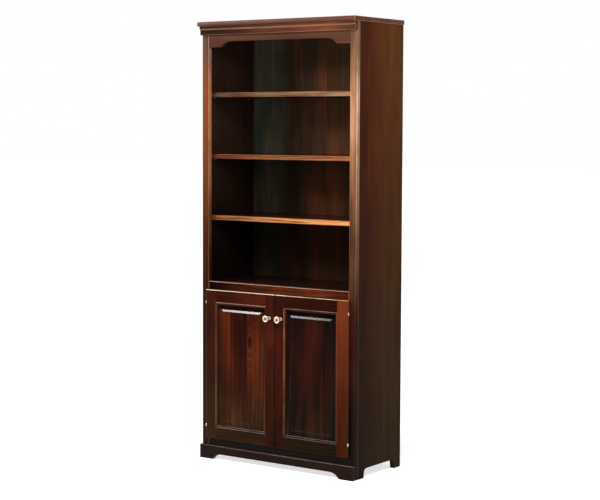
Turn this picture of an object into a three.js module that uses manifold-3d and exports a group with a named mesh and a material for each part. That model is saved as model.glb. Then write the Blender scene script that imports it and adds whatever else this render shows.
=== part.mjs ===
// A tall bookcase with cabinet doors: open shelves above, a pair of raised-panel doors below.
// Millimetres, +Z up, +X to the right and +Y to the back for someone who stands in front of it.
// Places inside the bookcase are measured from the middle of the case, the front of its face
// frame and the floor. The last group moves the whole piece so that its origin lies on the
// floor under the middle of its outline.
import * as THREE from "three";
import { mergeVertices } from "three/addons/utils/BufferGeometryUtils.js";
import Module from "manifold-3d";

const wasm = await Module();
wasm.setup();

// Case
const caseHeight = 1829;
const caseWidth = 776;
const caseDepth = 335;
const sideThickness = 19;
const topThickness = 19;
const deckThickness = 19;
const backThickness = 6;
const backRabbetWidth = 9.5;
const dadoDepth = 6;
const deckHeight = 750;
const cabinetFloorHeight = 93.4;
const backDrop = 19;
const hangingRailThickness = 19;
const hangingRailHeight = 42;
const glueGap = 0.3;
const cutOverrun = 5;

// Top board and cornice
const topFrontOverhang = 30.6;
const topSideOverhang = 4.5;
const topEdgeRadius = 7.5;
const corniceHeight = 35.5;
const corniceProud = 20;
const corniceFilletHeight = 11;
const corniceStepDepth = 3;
const corniceQuirkHeight = 3;
const corniceFootProud = 14.5;
const corniceFootHeight = 4.5;

// Face frame
const frameThickness = 19;
const stileWidth = 34;
const stileEasing = 3;
const seamChamfer = 1.2;
const archedRailHeight = 86;
const archedRailEarLength = 67;
const archRise = 23;
const archSweep = 47;
const middleRailHeight = 40;
const bottomRailHeight = 55;

// Base
const apronThickness = 17;
const apronHeight = 58;
const apronFootLength = 67;
const apronArchRise = 24;
const apronArchSweep = 45;
const apronFootEasing = 4.5;
const apronTopEasing = 4;
const sideFrontFootEnd = 61;
const sideBackFootLength = 46;
const sideArchRise = 37.4;
const sideFootLean = 5.5;
const sideArchCorner = 24;

// Shelves, and the pins and rows of holes that carry them
const shelfThickness = 20;
const shelfEndClearance = 1.5;
const shelfSetback = 5;
const shelfBackClearance = 2;
const shelfNoseRadius = 3;
const pinHolePitch = 32;
const pinHoleRadius = 2.6;
const pinHoleDepth = 10.5;
const pinRowSetback = 37;
const firstOpenHole = 188.6;
const openHoleTopMargin = 150;
const lowerShelfShare = 0.09;
const middleShelfShare = 0.455;
const upperShelfShare = 0.818;
const firstCabinetHole = 205;
const cabinetHoleTopMargin = 225;
const cabinetShelfShare = 0.5;
const pinPegRadius = 2.15;
const pinPegLength = 10;
const pinHeadRadius = 3.5;
const pinHeadLength = 8;

// Doors
const doorThickness = 19;
const doorProud = 12;
const lipThickness = 9.5;
const lipOverlay = 6.5;
const lipEdgeRadius = 5;
const insetClearance = 4;
const meetingGap = 3;
const meetingEdgeRadius = 1.5;
const hingeStileWidth = 63.5;
const meetingStileWidth = 53.5;
const topRailWidth = 62.5;
const bottomRailWidth = 60;
const stickingWidth = 9;
const stickingDepth = 5.8;
const stickingQuirk = 1.2;
const grooveDepth = 10;
const tongueThickness = 6;
const tongueReach = 8.5;
const panelFlatWidth = 18;
const panelBevelWidth = 8.5;
const panelStep = 1.2;
const fieldRecess = 1;

// Hinges
const hingeEndDistance = 54;
const leafThickness = 1.2;
const leafHeight = 38;
const frameLeafDepth = 15.5;
const doorLeafWidth = 33;
const barrelRadius = 2.5;
const barrelInset = 1;
const barrelHeight = 5.1;
const barrelGap = 0.3;
const hingePinRadius = 1.1;
const hingeBoreRadius = 1.4;
const hingePinHeadRadius = 1.8;
const hingePinHeadHeight = 0.8;
const notchDepth = 3.9;
const notchEndClearance = 0.6;

// Knobs and their screws
const knobRadius = 14;
const knobLength = 28;
const knobInset = 27.5;
const knobDrop = 98.5;
const knobBaseRadius = 8;
const knobNeckRadius = 4.4;
const knobBoreRadius = 2.4;
const knobBoreDepth = 12;
const knobScrewRadius = 2;
const knobScrewReach = 10;
const knobScrewHeadRadius = 4.2;
const knobScrewHeadHeight = 2.4;
const screwHoleRadius = 2.5;
const knobLengthShares = { flare: 0.12, neck: 0.32, headBack: 0.62, rim: 0.875, lip: 0.965, dish: 0.93 };
const knobRadiusShares = { headBack: 0.62, rim: 0.86, lip: 0.7, dish: 0.64, dishMiddle: 0.3 };

// Facets
const curveSteps = 6;
const holeSides = 8;
const pinSides = 10;
const barrelSides = 16;
const knobSides = 24;
const knobCurveSteps = 3;

// Sizes that follow from those above
const half = caseWidth / 2;
const sideInner = half - sideThickness;
const openingHalf = half - stileWidth;
const underTop = caseHeight - topThickness;
const backFront = caseDepth - backThickness;
const middleRailBottom = deckHeight - middleRailHeight;
const openHoles = holeRow(deckHeight + firstOpenHole, underTop - openHoleTopMargin);
const cabinetHoles = holeRow(cabinetFloorHeight + firstCabinetHole,
  deckHeight - deckThickness - cabinetHoleTopMargin);
const grooveWidth = tongueThickness + 2 * glueGap;
const doorFront = -doorProud;
const doorBack = doorThickness - doorProud;
const lipBack = doorFront + lipThickness;
const doorEdge = openingHalf + lipOverlay;
const doorInset = openingHalf - insetClearance;
const doorMeeting = meetingGap / 2;
const doorTop = middleRailBottom + lipOverlay;
const doorBottom = cabinetFloorHeight - lipOverlay;
const doorInsetTop = middleRailBottom - insetClearance;
const doorInsetBottom = cabinetFloorHeight + insetClearance;
const hingeX = doorEdge - barrelInset;
const hingeY = doorFront + barrelRadius - glueGap;
const hingeHeights = { upper: doorTop - hingeEndDistance, lower: doorBottom + hingeEndDistance };
const knobX = doorMeeting + knobInset;
const knobZ = doorTop - knobDrop;

const stainedWood = { color: 0x4a1f12, roughness: 0.32, metalness: 0 };
const darkWood = { color: 0x33170e, roughness: 0.4, metalness: 0 };
const satinNickel = { color: 0xcdbd98, roughness: 0.3, metalness: 1 };
const zincSteel = { color: 0xb4b3ae, roughness: 0.4, metalness: 1 };

function piece(name, geometry, finish) {
  const mesh = new THREE.Mesh(geometry, new THREE.MeshStandardMaterial(finish));
  mesh.name = name;
  return mesh;
}

// A closed geometry as a solid that can be joined and cut.
function solid(geometry) {
  const bare = geometry.clone();
  bare.deleteAttribute("normal");
  bare.deleteAttribute("uv");
  const merged = mergeVertices(bare);
  const mesh = new wasm.Mesh({
    numProp: 3,
    vertProperties: merged.getAttribute("position").array,
    triVerts: new Uint32Array(merged.index.array),
  });
  return new wasm.Manifold(mesh);
}

function geometryOf(body) {
  const mesh = body.getMesh();
  const geometry = new THREE.BufferGeometry();
  geometry.setAttribute("position", new THREE.BufferAttribute(mesh.vertProperties, 3));
  geometry.setIndex(new THREE.BufferAttribute(mesh.triVerts, 1));
  geometry.computeVertexNormals();
  return geometry;
}

function extruded(outline, length) {
  const settings = { depth: length, bevelEnabled: false, curveSegments: curveSteps };
  return new THREE.ExtrudeGeometry(outline, settings);
}

// An outline in (Y, Z), run from one X to another.
function alongX(outline, from, to) {
  const turn = new THREE.Matrix4().makeBasis(
    new THREE.Vector3(0, 1, 0), new THREE.Vector3(0, 0, 1), new THREE.Vector3(1, 0, 0));
  return extruded(outline, to - from).applyMatrix4(turn).translate(from, 0, 0);
}

// An outline in (X, Z), run from one Y to another.
function alongY(outline, from, to) {
  return extruded(outline, to - from).rotateX(Math.PI / 2).translate(0, to, 0);
}

// An outline in (X, Y), run from one Z to another.
function alongZ(outline, from, to) {
  return extruded(outline, to - from).translate(0, 0, from);
}

function block(x, y, z) {
  const box = new THREE.BoxGeometry(x[1] - x[0], y[1] - y[0], z[1] - z[0]);
  return box.translate((x[0] + x[1]) / 2, (y[0] + y[1]) / 2, (z[0] + z[1]) / 2);
}

function outlineOf(points) {
  return new THREE.Shape(points.map(([a, b]) => new THREE.Vector2(a, b)));
}

// A round bar along X, Y or Z, between two places on that axis.
function bar(axis, radius, sides, from, to, a, b) {
  const geometry = new THREE.CylinderGeometry(radius, radius, to - from, sides);
  const middle = (from + to) / 2;
  if (axis === "x") return geometry.rotateZ(Math.PI / 2).translate(middle, a, b);
  if (axis === "y") return geometry.translate(a, middle, b);
  return geometry.rotateX(Math.PI / 2).translate(a, b, middle);
}

// Radius of the arc that leaves a straight line and drops by rise over a run of sweep.
function archRadius(sweep, rise) {
  return (sweep * sweep + rise * rise) / (2 * rise);
}

// Adds the crown of a shallow arch to an outline, from its left end over to its right end.
function addArch(outline, endX, crownZ, sweep, rise) {
  const radius = archRadius(sweep, rise);
  const turn = Math.asin(sweep / radius);
  const straight = endX - sweep;
  outline.absarc(-straight, crownZ - radius, radius, Math.PI / 2 + turn, Math.PI / 2, true);
  outline.absarc(straight, crownZ - radius, radius, Math.PI / 2, Math.PI / 2 - turn, true);
}

// Heights of the shelf-pin holes in a row, from its lowest hole up to a limit.
function holeRow(lowest, limit) {
  const count = 1 + Math.floor((limit - lowest) / pinHolePitch);
  return Array.from({ length: count }, (hole, i) => lowest + i * pinHolePitch);
}

// The hole nearest to a share of the way up a row.
function holeAt(row, share) {
  return row[Math.round(share * (row.length - 1))];
}

function pinRows() {
  return { front: frameThickness + pinRowSetback, rear: backFront - pinRowSetback };
}

// Side panel with its bracket feet, back rabbet, housings for the two decks and pin holes.
function sidePanel() {
  const front = frameThickness + glueGap;
  const top = underTop - glueGap;
  const backFootFront = caseDepth - sideBackFootLength;
  const corner = sideArchRise - sideArchCorner / 2;
  const lean = sideFootLean * corner / sideArchRise;
  const outline = new THREE.Shape();
  outline.moveTo(front, 0);
  outline.lineTo(sideFrontFootEnd, 0);
  outline.lineTo(sideFrontFootEnd + lean, corner);
  outline.quadraticCurveTo(sideFrontFootEnd + sideFootLean, sideArchRise,
    sideFrontFootEnd + sideFootLean + sideArchCorner, sideArchRise);
  outline.lineTo(backFootFront - sideFootLean - sideArchCorner, sideArchRise);
  outline.quadraticCurveTo(backFootFront - sideFootLean, sideArchRise, backFootFront - lean, corner);
  outline.lineTo(backFootFront, 0);
  outline.lineTo(caseDepth, 0);
  outline.lineTo(caseDepth, top);
  outline.lineTo(front, top);
  let body = solid(alongX(outline, sideInner, half));

  const rabbet = block([sideInner - cutOverrun, sideInner + backRabbetWidth],
    [backFront - glueGap, caseDepth + cutOverrun],
    [cabinetFloorHeight - deckThickness - backDrop - glueGap, top + cutOverrun]);
  body = body.subtract(solid(rabbet));
  for (const deckTop of [deckHeight, cabinetFloorHeight]) {
    const housing = block([sideInner - cutOverrun, sideInner + dadoDepth],
      [front - cutOverrun, backFront],
      [deckTop - deckThickness - glueGap, deckTop + glueGap]);
    body = body.subtract(solid(housing));
  }
  const chamfer = outlineOf([
    [half + seamChamfer, front - seamChamfer],
    [half + seamChamfer, front + 2 * seamChamfer],
    [half - seamChamfer, front - glueGap],
    [half - seamChamfer, front - seamChamfer],
  ]);
  body = body.subtract(solid(alongZ(chamfer, -cutOverrun, caseHeight)));
  for (const row of Object.values(pinRows())) {
    for (const height of [...openHoles, ...cabinetHoles]) {
      const hole = bar("x", pinHoleRadius, holeSides, sideInner - cutOverrun,
        sideInner + pinHoleDepth, row, height);
      body = body.subtract(solid(hole));
    }
  }
  return geometryOf(body);
}

function topBoard() {
  const front = -topFrontOverhang;
  const outline = new THREE.Shape();
  outline.moveTo(caseDepth, underTop);
  outline.lineTo(caseDepth, caseHeight);
  outline.lineTo(front + topEdgeRadius, caseHeight);
  outline.absarc(front + topEdgeRadius, caseHeight - topEdgeRadius, topEdgeRadius,
    Math.PI / 2, Math.PI, false);
  outline.absarc(front + topEdgeRadius, underTop + topEdgeRadius, topEdgeRadius,
    Math.PI, 3 * Math.PI / 2, false);
  return alongX(outline, -half - topSideOverhang, half + topSideOverhang);
}

// Crown strip under the top board: a square fillet, a quirk, a long hollow and a square foot.
function corniceMoulding() {
  const top = underTop - glueGap;
  const bottom = underTop - corniceHeight;
  const filletBottom = top - corniceFilletHeight;
  const hollowTop = filletBottom - corniceQuirkHeight;
  const hollowBottom = bottom + corniceFootHeight;
  const outline = new THREE.Shape();
  outline.moveTo(-glueGap, bottom);
  outline.lineTo(-glueGap, top);
  outline.lineTo(-corniceProud, top);
  outline.lineTo(-corniceProud, filletBottom);
  outline.lineTo(-corniceProud + corniceStepDepth, filletBottom);
  outline.lineTo(-corniceProud + corniceStepDepth, hollowTop);
  outline.quadraticCurveTo(-corniceFootProud, hollowTop, -corniceFootProud, hollowBottom);
  outline.lineTo(-corniceFootProud, bottom);
  return alongX(outline, -half, half);
}

// Face-frame stile on the right: eased front arris, chamfered where it meets the side panel.
function frameStile() {
  const outline = new THREE.Shape();
  outline.moveTo(openingHalf, 0);
  outline.lineTo(half - stileEasing, 0);
  outline.absarc(half - stileEasing, stileEasing, stileEasing, -Math.PI / 2, 0, false);
  outline.lineTo(half, frameThickness - seamChamfer);
  outline.lineTo(half - seamChamfer, frameThickness);
  outline.lineTo(openingHalf, frameThickness);
  return alongZ(outline, 0, underTop - glueGap);
}

function archedTopRail() {
  const end = openingHalf - glueGap;
  const top = underTop - glueGap;
  const bottom = underTop - archedRailHeight;
  const archEnd = openingHalf - archedRailEarLength;
  const outline = new THREE.Shape();
  outline.moveTo(-end, bottom);
  outline.lineTo(-archEnd, bottom);
  addArch(outline, archEnd, bottom + archRise, archSweep, archRise);
  outline.lineTo(end, bottom);
  outline.lineTo(end, top);
  outline.lineTo(-end, top);
  return alongY(outline, 0, frameThickness);
}

function straightRail(top, height) {
  const end = openingHalf - glueGap;
  return block([-end, end], [0, frameThickness], [top - height, top]);
}

// Front base board with bracket feet, its top front arris rounded.
function baseApron() {
  const archEnd = half - apronFootLength;
  const radius = archRadius(apronArchSweep, apronArchRise);
  const turn = Math.asin(apronArchSweep / radius);
  const front = new THREE.Shape();
  front.moveTo(-half, 0);
  front.lineTo(-archEnd - apronFootEasing, 0);
  front.quadraticCurveTo(-archEnd, 0,
    -archEnd + apronFootEasing * Math.cos(turn), apronFootEasing * Math.sin(turn));
  addArch(front, archEnd, apronArchRise, apronArchSweep, apronArchRise);
  front.quadraticCurveTo(archEnd, 0, archEnd + apronFootEasing, 0);
  front.lineTo(half, 0);
  front.lineTo(half, apronHeight);
  front.lineTo(-half, apronHeight);

  const end = new THREE.Shape();
  end.moveTo(-apronThickness, -cutOverrun);
  end.lineTo(-glueGap, -cutOverrun);
  end.lineTo(-glueGap, apronHeight);
  end.lineTo(-apronThickness + apronTopEasing, apronHeight);
  end.absarc(-apronThickness + apronTopEasing, apronHeight - apronTopEasing, apronTopEasing,
    Math.PI / 2, Math.PI, false);
  const board = solid(alongY(front, -apronThickness, -glueGap));
  return geometryOf(board.intersect(solid(alongX(end, -half, half))));
}

// Fixed board whose ends are housed in the two side panels.
function deck(top) {
  const end = sideInner + dadoDepth - glueGap;
  return block([-end, end], [frameThickness + glueGap, backFront - glueGap],
    [top - deckThickness, top]);
}

function backPanel() {
  const end = sideInner + backRabbetWidth - glueGap;
  return block([-end, end], [backFront, caseDepth],
    [cabinetFloorHeight - deckThickness - backDrop, underTop - glueGap]);
}

function hangingRail() {
  const end = sideInner - glueGap;
  const back = backFront - glueGap;
  return block([-end, end], [back - hangingRailThickness, back],
    [underTop - hangingRailHeight, underTop - glueGap]);
}

// Loose shelf with a rounded nose, resting on four pins.
function shelf(pinHeight) {
  const bottom = pinHeight + pinHeadRadius + glueGap;
  const top = bottom + shelfThickness;
  const front = frameThickness + shelfSetback;
  const back = backFront - shelfBackClearance;
  const end = sideInner - shelfEndClearance;
  const outline = new THREE.Shape();
  outline.moveTo(back, bottom);
  outline.lineTo(back, top);
  outline.lineTo(front + shelfNoseRadius, top);
  outline.absarc(front + shelfNoseRadius, top - shelfNoseRadius, shelfNoseRadius,
    Math.PI / 2, Math.PI, false);
  outline.absarc(front + shelfNoseRadius, bottom + shelfNoseRadius, shelfNoseRadius,
    Math.PI, 3 * Math.PI / 2, false);
  return alongX(outline, -end, end);
}

// Metal shelf pin, its peg in the side panel and its head under the shelf.
function shelfPin() {
  const length = pinPegLength + pinHeadLength;
  const profile = [[0, 0], [pinPegRadius, 0], [pinPegRadius, pinPegLength],
    [pinHeadRadius, pinPegLength], [pinHeadRadius, length], [0, length]];
  return new THREE.LatheGeometry(profile.map(([r, h]) => new THREE.Vector2(r, h)), pinSides);
}

// The whole outside of a door: rounded front edges all round, and a lip on the hinge side,
// the top and the bottom, where the back is cut away to drop into the face frame.
function doorEnvelope() {
  const plan = new THREE.Shape();
  plan.moveTo(doorMeeting, doorBack);
  plan.lineTo(doorMeeting, doorFront + meetingEdgeRadius);
  plan.absarc(doorMeeting + meetingEdgeRadius, doorFront + meetingEdgeRadius, meetingEdgeRadius,
    Math.PI, 3 * Math.PI / 2, false);
  plan.absarc(doorEdge - lipEdgeRadius, doorFront + lipEdgeRadius, lipEdgeRadius,
    -Math.PI / 2, 0, false);
  plan.lineTo(doorEdge, lipBack);
  plan.lineTo(doorInset, lipBack);
  plan.lineTo(doorInset, doorBack);

  const side = new THREE.Shape();
  side.moveTo(doorBack, doorInsetBottom);
  side.lineTo(doorBack, doorInsetTop);
  side.lineTo(lipBack, doorInsetTop);
  side.lineTo(lipBack, doorTop);
  side.absarc(doorFront + lipEdgeRadius, doorTop - lipEdgeRadius, lipEdgeRadius,
    Math.PI / 2, Math.PI, false);
  side.absarc(doorFront + lipEdgeRadius, doorBottom + lipEdgeRadius, lipEdgeRadius,
    Math.PI, 3 * Math.PI / 2, false);
  side.lineTo(lipBack, doorBottom);
  side.lineTo(lipBack, doorInsetBottom);
  const upright = solid(alongZ(plan, doorBottom, doorTop));
  return upright.intersect(solid(alongX(side, doorMeeting, doorEdge)));
}

// Section of a door-frame member, from its outer edge to the panel and from front to back:
// a quirk and a rounded moulding on the front, then the groove for the panel. With a growth
// it is the space that another member's end has to leave free.
function memberOutline(width, growth = 0) {
  const face = width - stickingWidth;
  const edge = width + growth;
  const grooveFront = stickingDepth + growth;
  const grooveBack = stickingDepth + grooveWidth - growth;
  const grooveFloor = width - grooveDepth + growth;
  const reach = stickingWidth + growth;
  const outline = new THREE.Shape();
  outline.moveTo(0, doorThickness + growth);
  outline.lineTo(0, -growth);
  outline.lineTo(face + growth, -growth);
  outline.absellipse(face, stickingDepth, reach, stickingDepth - stickingQuirk + growth,
    -Math.acos(growth / reach), 0, false, 0);
  if (growth > 0) outline.lineTo(edge, grooveFront);
  outline.lineTo(grooveFloor, grooveFront);
  outline.lineTo(grooveFloor, grooveBack);
  outline.lineTo(edge, grooveBack);
  outline.lineTo(edge, doorThickness + growth);
  return outline;
}

function hingeStile(growth = 0) {
  const member = alongZ(memberOutline(hingeStileWidth, growth), -growth, doorTop - doorBottom + growth);
  return solid(member.rotateY(Math.PI).translate(doorEdge, doorFront, doorTop));
}

function meetingStile(growth = 0) {
  const member = alongZ(memberOutline(meetingStileWidth, growth), -growth, doorTop - doorBottom + growth);
  return solid(member.translate(doorMeeting, doorFront, doorBottom));
}

// Door rail whose ends are scribed over the moulding of the stiles and tenoned in their grooves.
function doorRail(width, atTop) {
  const from = doorMeeting + meetingStileWidth - grooveDepth + glueGap;
  const to = doorEdge - hingeStileWidth + grooveDepth - glueGap;
  const member = alongZ(memberOutline(width), 0, to - from);
  if (atTop) member.rotateY(Math.PI / 2).translate(from, doorFront, doorTop);
  else member.rotateY(-Math.PI / 2).translate(to, doorFront, doorBottom);
  return solid(member).subtract(meetingStile(glueGap)).subtract(hingeStile(glueGap));
}

// Section of the raised panel, measured from its middle line: a thin tongue, a flat, a bevel
// that rises to a small step, and the raised field.
function panelOutline(halfSize, middle) {
  const tongueBack = doorFront + stickingDepth + glueGap + tongueThickness;
  const tongueFront = tongueBack - tongueThickness;
  const field = doorFront + fieldRecess;
  const bevelHalf = halfSize - tongueReach - panelFlatWidth;
  const fieldHalf = bevelHalf - panelBevelWidth;
  const stepDepth = field + panelStep;
  const outline = new THREE.Shape();
  outline.moveTo(middle - halfSize, tongueBack);
  outline.lineTo(middle - halfSize, tongueFront);
  outline.lineTo(middle - bevelHalf, tongueFront);
  outline.lineTo(middle - fieldHalf, stepDepth);
  outline.lineTo(middle - fieldHalf, field);
  outline.lineTo(middle + fieldHalf, field);
  outline.lineTo(middle + fieldHalf, stepDepth);
  outline.lineTo(middle + bevelHalf, tongueFront);
  outline.lineTo(middle + halfSize, tongueFront);
  outline.lineTo(middle + halfSize, tongueBack);
  return outline;
}

// Raised panel with mitred bevels, the common part of an upright run and a level run.
function raisedPanel() {
  const left = doorMeeting + meetingStileWidth - tongueReach;
  const right = doorEdge - hingeStileWidth + tongueReach;
  const bottom = doorBottom + bottomRailWidth - tongueReach;
  const top = doorTop - topRailWidth + tongueReach;
  const across = panelOutline((right - left) / 2, (left + right) / 2);
  const upward = new THREE.Shape(
    panelOutline((top - bottom) / 2, (top + bottom) / 2).getPoints()
      .map((point) => new THREE.Vector2(point.y, point.x)));
  const upright = solid(alongZ(across, bottom, top));
  return geometryOf(upright.intersect(solid(alongX(upward, left, right))));
}

// Cuts the two hinge notches in the lip of the hinge stile.
function notched(stile) {
  const reach = barrelHeight + barrelGap / 2 + glueGap + hingePinHeadHeight + notchEndClearance;
  let body = stile;
  for (const height of Object.values(hingeHeights)) {
    const notch = block([doorEdge - notchDepth, doorEdge + cutOverrun],
      [doorFront - cutOverrun, lipBack + cutOverrun], [height - reach, height + reach]);
    body = body.subtract(solid(notch));
  }
  return body;
}

// One half of a hinge: a plate, a bent arm and a bored barrel. The arm lies behind the door
// lip and comes forward through its notch.
function hingeLeaf(plates, arm, from, to) {
  let leaf = solid(alongZ(arm, from, to));
  for (const plate of plates) leaf = leaf.add(solid(plate));
  leaf = leaf.add(solid(bar("z", barrelRadius, barrelSides, from, to, hingeX, hingeY)));
  const bore = bar("z", hingeBoreRadius, holeSides, from - cutOverrun, to + cutOverrun, hingeX, hingeY);
  return geometryOf(leaf.subtract(solid(bore)));
}

// Bent strip from a plate, outwards along a face and forwards to the barrel.
function armOutline(plateX, plateY, stripY) {
  const riser = hingeX - leafThickness / 2;
  return outlineOf([
    [plateX, plateY],
    [plateX, stripY],
    [riser, stripY],
    [riser, hingeY],
    [riser + leafThickness, hingeY],
    [riser + leafThickness, stripY + leafThickness],
    [plateX + leafThickness, stripY + leafThickness],
    [plateX + leafThickness, plateY],
  ]);
}

// Leaf on the inner edge of the face-frame stile, with the lower barrel.
function frameLeaf(height) {
  const x = openingHalf - glueGap - leafThickness;
  const stripY = -glueGap - leafThickness;
  const plate = block([x, x + leafThickness], [leafThickness, leafThickness + frameLeafDepth],
    [height - leafHeight / 2, height + leafHeight / 2]);
  const arm = armOutline(x, 2 * leafThickness, stripY);
  return hingeLeaf([plate], arm, height - barrelGap / 2 - barrelHeight, height - barrelGap / 2);
}

// Leaf that wraps the back corner of the door, with the upper barrel.
function doorLeaf(height) {
  const x = doorInset + glueGap;
  const stripY = lipBack + glueGap;
  const backY = doorBack + glueGap;
  const tall = [height - leafHeight / 2, height + leafHeight / 2];
  const backPlate = block([x + leafThickness - doorLeafWidth, x + leafThickness],
    [backY, backY + leafThickness], tall);
  const edgePlate = block([x, x + leafThickness], [stripY, backY + leafThickness], tall);
  const arm = armOutline(x, stripY + 2 * leafThickness, stripY);
  return hingeLeaf([backPlate, edgePlate], arm,
    height + barrelGap / 2, height + barrelGap / 2 + barrelHeight);
}

// Hinge pin with a small button head that rests on the upper barrel.
function hingePin(height) {
  const bottom = height - barrelGap / 2 - barrelHeight;
  const neck = height + barrelGap / 2 + barrelHeight + glueGap;
  const top = neck + hingePinHeadHeight;
  const profile = [[0, bottom], [hingePinRadius, bottom], [hingePinRadius, neck],
    [hingePinHeadRadius, neck], [hingePinRadius, top], [0, top]];
  const pin = new THREE.LatheGeometry(profile.map(([r, h]) => new THREE.Vector2(r, h)), pinSides);
  return pin.rotateX(Math.PI / 2).translate(hingeX, hingeY, 0);
}

// Turned knob: a spread base, a waisted neck and a round head with a rim and a dished face.
function knob() {
  const along = (share) => knobLength * share;
  const across = (share) => knobRadius * share;
  const headBack = along(knobLengthShares.headBack);
  const dish = along(knobLengthShares.dish);
  const profile = new THREE.Path();
  profile.moveTo(0, knobBoreDepth);
  profile.lineTo(knobBoreRadius, knobBoreDepth);
  profile.lineTo(knobBoreRadius, 0);
  profile.lineTo(knobBaseRadius, 0);
  profile.bezierCurveTo(knobBaseRadius, along(knobLengthShares.flare),
    knobNeckRadius, along(knobLengthShares.flare), knobNeckRadius, along(knobLengthShares.neck));
  profile.quadraticCurveTo(knobNeckRadius, headBack, across(knobRadiusShares.headBack), headBack);
  profile.quadraticCurveTo(knobRadius, headBack, knobRadius, along(knobLengthShares.rim));
  profile.quadraticCurveTo(knobRadius, knobLength, across(knobRadiusShares.rim), knobLength);
  profile.quadraticCurveTo(across(knobRadiusShares.lip), knobLength,
    across(knobRadiusShares.dish), along(knobLengthShares.lip));
  profile.quadraticCurveTo(across(knobRadiusShares.dishMiddle), dish, 0, dish);
  return new THREE.LatheGeometry(profile.getPoints(knobCurveSteps), knobSides);
}

function knobScrew() {
  const reach = doorThickness + glueGap + knobScrewReach;
  const profile = [[0, 0], [knobScrewRadius, 0], [knobScrewRadius, reach],
    [knobScrewHeadRadius, reach], [knobScrewHeadRadius, reach + knobScrewHeadHeight / 2],
    [knobScrewRadius, reach + knobScrewHeadHeight], [0, reach + knobScrewHeadHeight]];
  return new THREE.LatheGeometry(profile.map(([r, h]) => new THREE.Vector2(r, h)), pinSides);
}

function meetingStileWithScrewHole() {
  const hole = bar("y", screwHoleRadius, holeSides, doorFront - cutOverrun, doorBack + cutOverrun,
    knobX, knobZ);
  return meetingStile().subtract(solid(hole));
}

// One door with its hardware, drawn for the right side; the left one is its mirror image.
function door(side) {
  const group = new THREE.Group();
  const envelope = doorEnvelope();
  const member = (name, body) =>
    group.add(piece(`door_${side}_${name}`, geometryOf(body.intersect(envelope)), stainedWood));
  member("hinge_stile", notched(hingeStile()));
  member("meeting_stile", meetingStileWithScrewHole());
  member("top_rail", doorRail(topRailWidth, true));
  member("bottom_rail", doorRail(bottomRailWidth, false));
  group.add(piece(`door_${side}_raised_panel`, raisedPanel(), stainedWood));

  const knobMesh = piece(`door_${side}_knob`, knob(), satinNickel);
  knobMesh.position.set(knobX, doorFront - glueGap, knobZ);
  knobMesh.rotation.x = Math.PI;
  group.add(knobMesh);
  const screwMesh = piece(`door_${side}_knob_screw`, knobScrew(), zincSteel);
  screwMesh.position.set(knobX, doorFront - knobScrewReach, knobZ);
  group.add(screwMesh);
  for (const [place, height] of Object.entries(hingeHeights)) {
    group.add(piece(`hinge_${side}_${place}_frame_leaf`, frameLeaf(height), satinNickel));
    group.add(piece(`hinge_${side}_${place}_door_leaf`, doorLeaf(height), satinNickel));
    group.add(piece(`hinge_${side}_${place}_pin`, hingePin(height), satinNickel));
  }
  if (side === "left") group.scale.x = -1;
  return group;
}

// The pieces that come in mirrored pairs, drawn for the right side.
function sideGroup(side) {
  const group = new THREE.Group();
  group.add(piece(`side_panel_${side}`, sidePanel(), stainedWood));
  group.add(piece(`face_frame_stile_${side}`, frameStile(), stainedWood));
  for (const [shelfName, height] of Object.entries(shelfPinHeights())) {
    for (const [row, y] of Object.entries(pinRows())) {
      const pin = piece(`pin_${shelfName}_${side}_${row}`, shelfPin(), zincSteel);
      pin.position.set(sideInner + pinPegLength, y, height);
      pin.rotation.z = Math.PI / 2;
      group.add(pin);
    }
  }
  if (side === "left") group.scale.x = -1;
  return group;
}

function shelfPinHeights() {
  return {
    cabinet_shelf: holeAt(cabinetHoles, cabinetShelfShare),
    lower_shelf: holeAt(openHoles, lowerShelfShare),
    middle_shelf: holeAt(openHoles, middleShelfShare),
    upper_shelf: holeAt(openHoles, upperShelfShare),
  };
}

function carcass() {
  const group = new THREE.Group();
  group.add(piece("top_board", topBoard(), stainedWood));
  group.add(piece("cornice_moulding", corniceMoulding(), stainedWood));
  group.add(piece("arched_top_rail", archedTopRail(), stainedWood));
  group.add(piece("middle_rail", straightRail(deckHeight, middleRailHeight), stainedWood));
  group.add(piece("bottom_rail", straightRail(cabinetFloorHeight, bottomRailHeight), stainedWood));
  group.add(piece("base_apron", baseApron(), stainedWood));
  group.add(piece("fixed_deck", deck(deckHeight), darkWood));
  group.add(piece("cabinet_floor", deck(cabinetFloorHeight), darkWood));
  group.add(piece("back_panel", backPanel(), darkWood));
  group.add(piece("hanging_rail", hangingRail(), darkWood));
  return group;
}

const bookcase = new THREE.Group();
bookcase.add(carcass());
for (const [shelfName, height] of Object.entries(shelfPinHeights())) {
  bookcase.add(piece(shelfName, shelf(height), stainedWood));
}
for (const side of ["left", "right"]) {
  bookcase.add(sideGroup(side));
  bookcase.add(door(side));
}
const frontReach = doorProud + glueGap + knobLength;
bookcase.position.y = -(caseDepth - frontReach) / 2;

const part = new THREE.Group();
part.add(bookcase);

export default part;
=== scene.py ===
"""Finishes, small hardware and studio for a tall bookcase with cabinet doors."""
import math

import bmesh
import bpy
from mathutils import Matrix, Vector


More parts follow.
